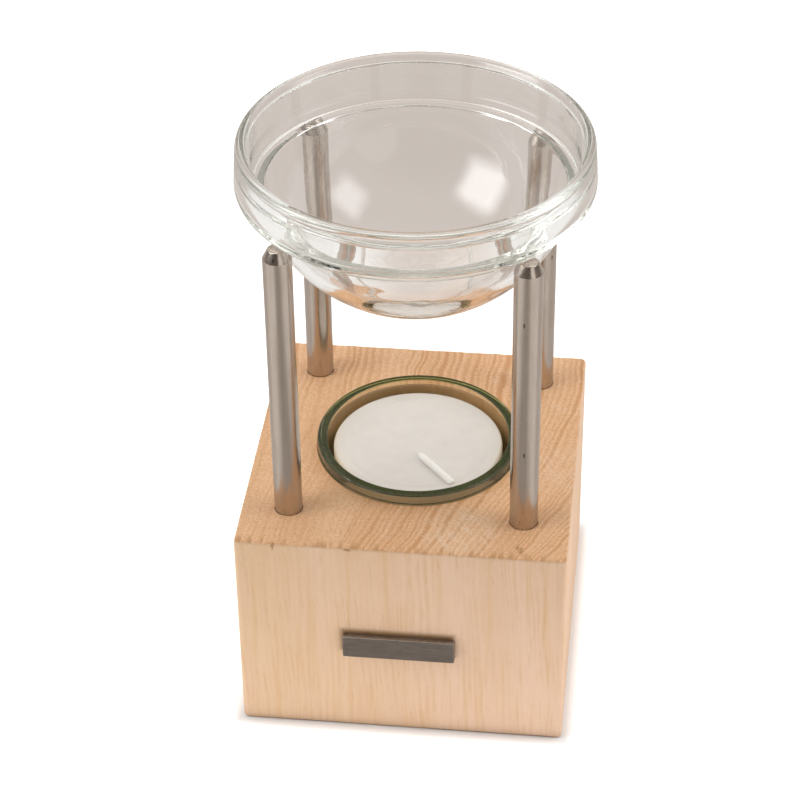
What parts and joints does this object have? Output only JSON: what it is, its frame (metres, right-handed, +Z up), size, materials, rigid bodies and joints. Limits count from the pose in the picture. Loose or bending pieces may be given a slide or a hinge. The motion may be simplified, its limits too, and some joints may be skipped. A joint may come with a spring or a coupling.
{
  "type": "essential oil burner",
  "caption": "Wooden block with a tealight in a glass cup and upright steel rods that carry a clear glass bowl, in which water and scented oil are warmed over the flame.",
  "frame": {"origin": "on the table, under the middle of the rods and the bowl", "axes": "+Z up, front with the plate towards -Y, +X to the right seen from the front"},
  "size_m": [0.0742, 0.0764, 0.1274],
  "materials": {
    "maple": "sanded and oiled, end grain on top",
    "rod_steel": "drawn bar, satin",
    "clear_glass": "pressed, fire-polished",
    "green_glass": "thick, green in the edge",
    "wax": "smooth, slightly translucent",
    "wick_cotton": "waxed thread",
    "tin_plate": "thin pressed sheet",
    "pewter": "cast, dark, worn bright on the edges"
  },
  "bodies": {
    "base": {"wood_block": "maple", "rod_front_left": "rod_steel", "rod_front_right": "rod_steel", "rod_back_left": "rod_steel", "rod_back_right": "rod_steel", "front_plate": "pewter"},
    "bowl": {"glass_bowl": "clear_glass"},
    "tealight_holder": {"tealight_glass": "green_glass"},
    "candle": {"tealight_wax": "wax", "wick": "wick_cotton", "wick_sustainer": "tin_plate"}
  },
  "joints": [
    {"name": "bowl_lift", "type": "slide", "parent": "base", "child": "bowl", "axis": [0, 0, 1], "range_m": [0, 0.06]},
    {"name": "tealight_lift", "type": "slide", "parent": "base", "child": "tealight_holder", "axis": [0, 0, 1], "range_m": [0, 0.035]},
    {"name": "candle_lift", "type": "slide", "parent": "tealight_holder", "child": "candle", "axis": [0, 0, 1], "range_m": [0, 0.03]}
  ]
}
